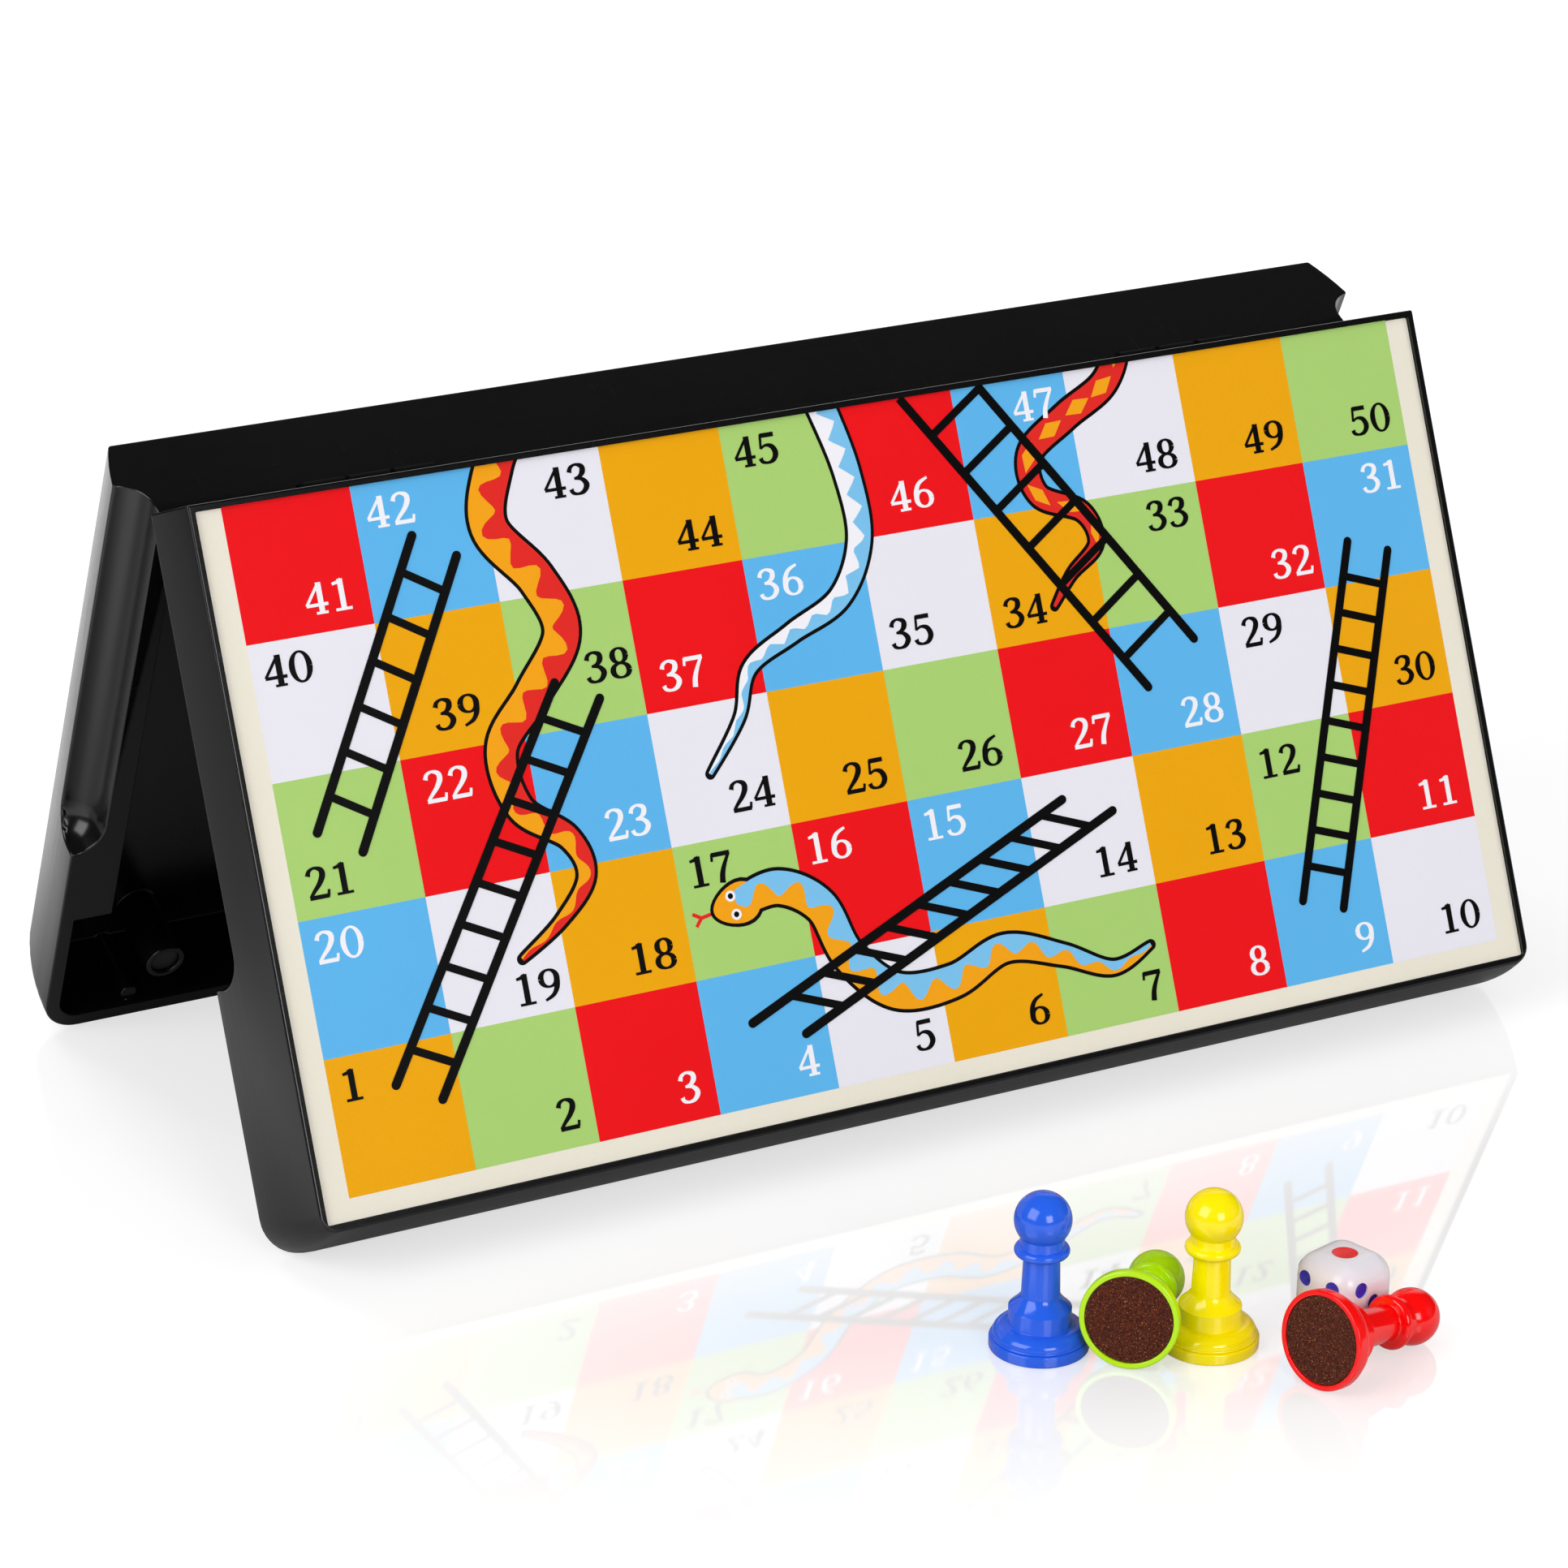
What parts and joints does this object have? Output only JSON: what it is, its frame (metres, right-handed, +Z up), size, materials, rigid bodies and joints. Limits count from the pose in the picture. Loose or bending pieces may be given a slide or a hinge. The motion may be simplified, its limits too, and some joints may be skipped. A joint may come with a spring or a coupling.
{
  "type": "snakes and ladders board",
  "caption": "Folding magnetic snakes and ladders board standing as a tent: hinged black half trays with printed playing faces, magnetic pawns and a die.",
  "frame": {"origin": "point on the table straight below the middle of the hinge, with the board standing as a tent", "axes": "+X along the hinge to the player's right, -Y towards the player, +Z up from the table"},
  "size_m": [0.2004, 0.1935, 0.0978],
  "materials": {
    "shell_plastic": "glossy moulded black plastic",
    "steel_sheet": "plain thin sheet, hidden under the print",
    "print_sheet": "printed plastic film with a soft sheen",
    "pin_wire": "drawn wire",
    "magnet": "dark ferrite",
    "pawn_blue": "glossy moulded plastic",
    "pawn_green": "glossy moulded plastic",
    "pawn_yellow": "glossy moulded plastic",
    "pawn_red": "glossy moulded plastic",
    "pawn_pad": "brown flocked pad",
    "die_white": "smooth moulded plastic",
    "pip_red": "paint",
    "pip_blue": "paint"
  },
  "bodies": {
    "front_half": {"front_shell": "shell_plastic", "front_steel_sheet": "steel_sheet", "front_print_sheet": "print_sheet", "left_hinge_pin": "pin_wire", "right_hinge_pin": "pin_wire", "front_closing_magnets": "magnet"},
    "back_half": {"back_shell": "shell_plastic", "back_steel_sheet": "steel_sheet", "back_print_sheet": "print_sheet", "back_closing_magnets": "magnet"},
    "blue_pawn": {"blue_pawn_body": "pawn_blue", "blue_pawn_magnet": "magnet", "blue_pawn_pad": "pawn_pad"},
    "green_pawn": {"green_pawn_body": "pawn_green", "green_pawn_magnet": "magnet", "green_pawn_pad": "pawn_pad"},
    "yellow_pawn": {"yellow_pawn_body": "pawn_yellow", "yellow_pawn_magnet": "magnet", "yellow_pawn_pad": "pawn_pad"},
    "red_pawn": {"red_pawn_body": "pawn_red", "red_pawn_magnet": "magnet", "red_pawn_pad": "pawn_pad"},
    "die": {"die_body": "die_white", "die_one_pip": "pip_red", "die_blue_pips": "pip_blue"}
  },
  "joints": [
    {"name": "fold", "type": "hinge", "parent": "front_half", "child": "back_half", "pos_m": [0, 0, 0.0919], "axis": [1, 0, 0], "range_deg": [-47.5, 132.5]},
    {"name": "blue_pawn_lift", "type": "slide", "parent": "front_half", "child": "blue_pawn", "axis": [0, 0, 1], "range_m": [0, 0.12]},
    {"name": "green_pawn_lift", "type": "slide", "parent": "front_half", "child": "green_pawn", "axis": [0, 0, 1], "range_m": [0, 0.12]},
    {"name": "yellow_pawn_lift", "type": "slide", "parent": "front_half", "child": "yellow_pawn", "axis": [0, 0, 1], "range_m": [0, 0.12]},
    {"name": "red_pawn_lift", "type": "slide", "parent": "front_half", "child": "red_pawn", "axis": [0, 0, 1], "range_m": [0, 0.12]},
    {"name": "die_lift", "type": "slide", "parent": "front_half", "child": "die", "axis": [0, 0, 1], "range_m": [0, 0.12]}
  ]
}
